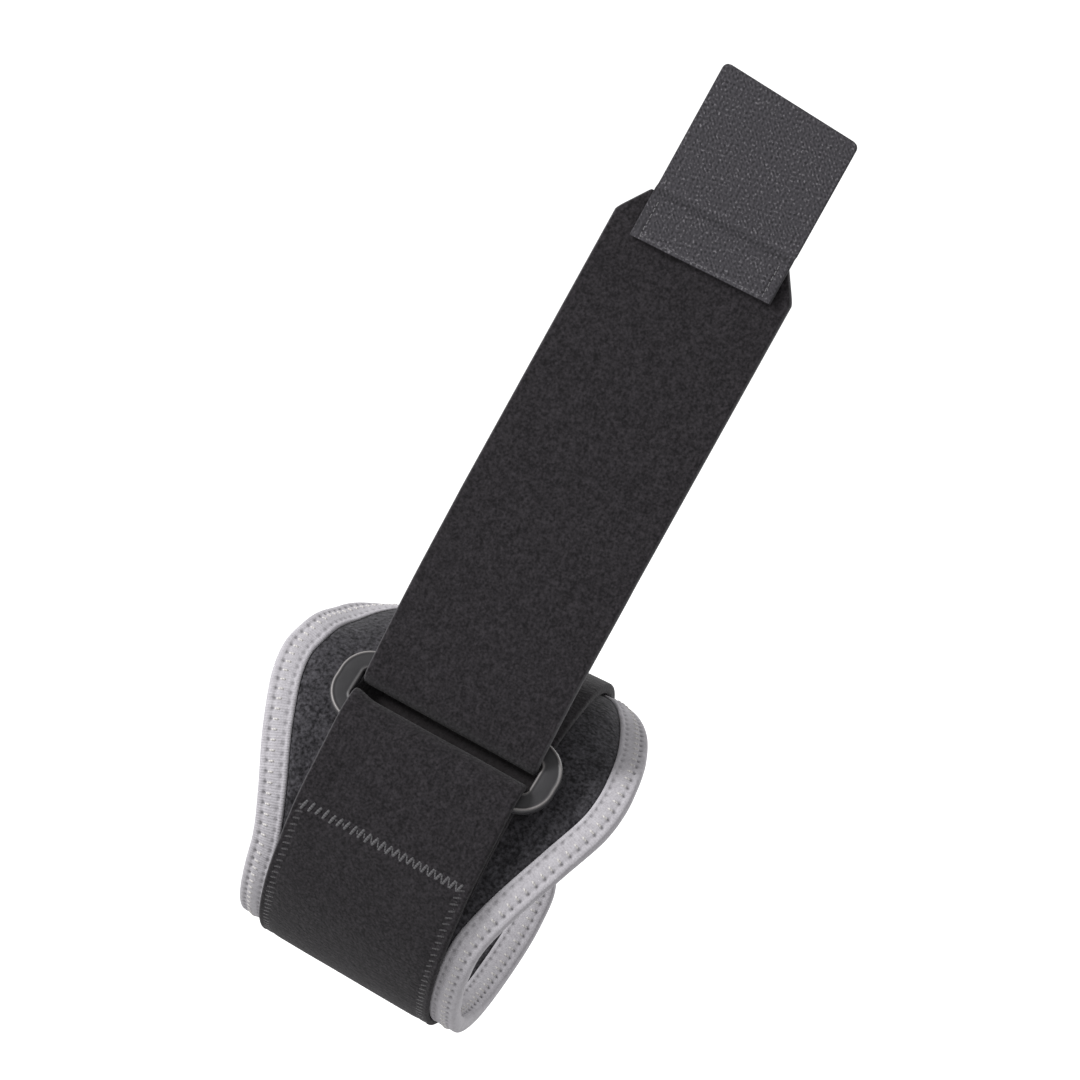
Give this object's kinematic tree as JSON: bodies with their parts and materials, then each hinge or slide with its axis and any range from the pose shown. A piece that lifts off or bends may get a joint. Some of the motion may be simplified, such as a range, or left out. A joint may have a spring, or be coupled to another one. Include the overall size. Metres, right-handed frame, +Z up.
{
  "type": "tennis elbow brace",
  "caption": "Padded forearm brace: a bound charcoal panel round an open hollow, closed by a strap through a ring buckle with a hook tab on its pulled end.",
  "frame": {"origin": "middle of the hollow that the forearm goes through", "axes": "+X along the hollow's axis toward its wider end, -Y toward the front with the ring buckle, +Z up along the pulled strap"},
  "size_m": [0.0889, 0.0953, 0.2316],
  "materials": {
    "panel_fabric": "speckled brushed loop fabric on foam",
    "binding_tape": "light grey ribbed binding tape",
    "buckle_plastic": "satin dark grey moulded plastic",
    "strap_fabric": "near-black brushed loop fabric on foam",
    "hook_tape": "coarse speckled woven hook tape"
  },
  "bodies": {
    "root": {"body_panel": "panel_fabric", "edge_binding": "binding_tape", "ring_buckle": "buckle_plastic", "strap": "strap_fabric", "hook_tab": "hook_tape"}
  },
  "joints": []
}
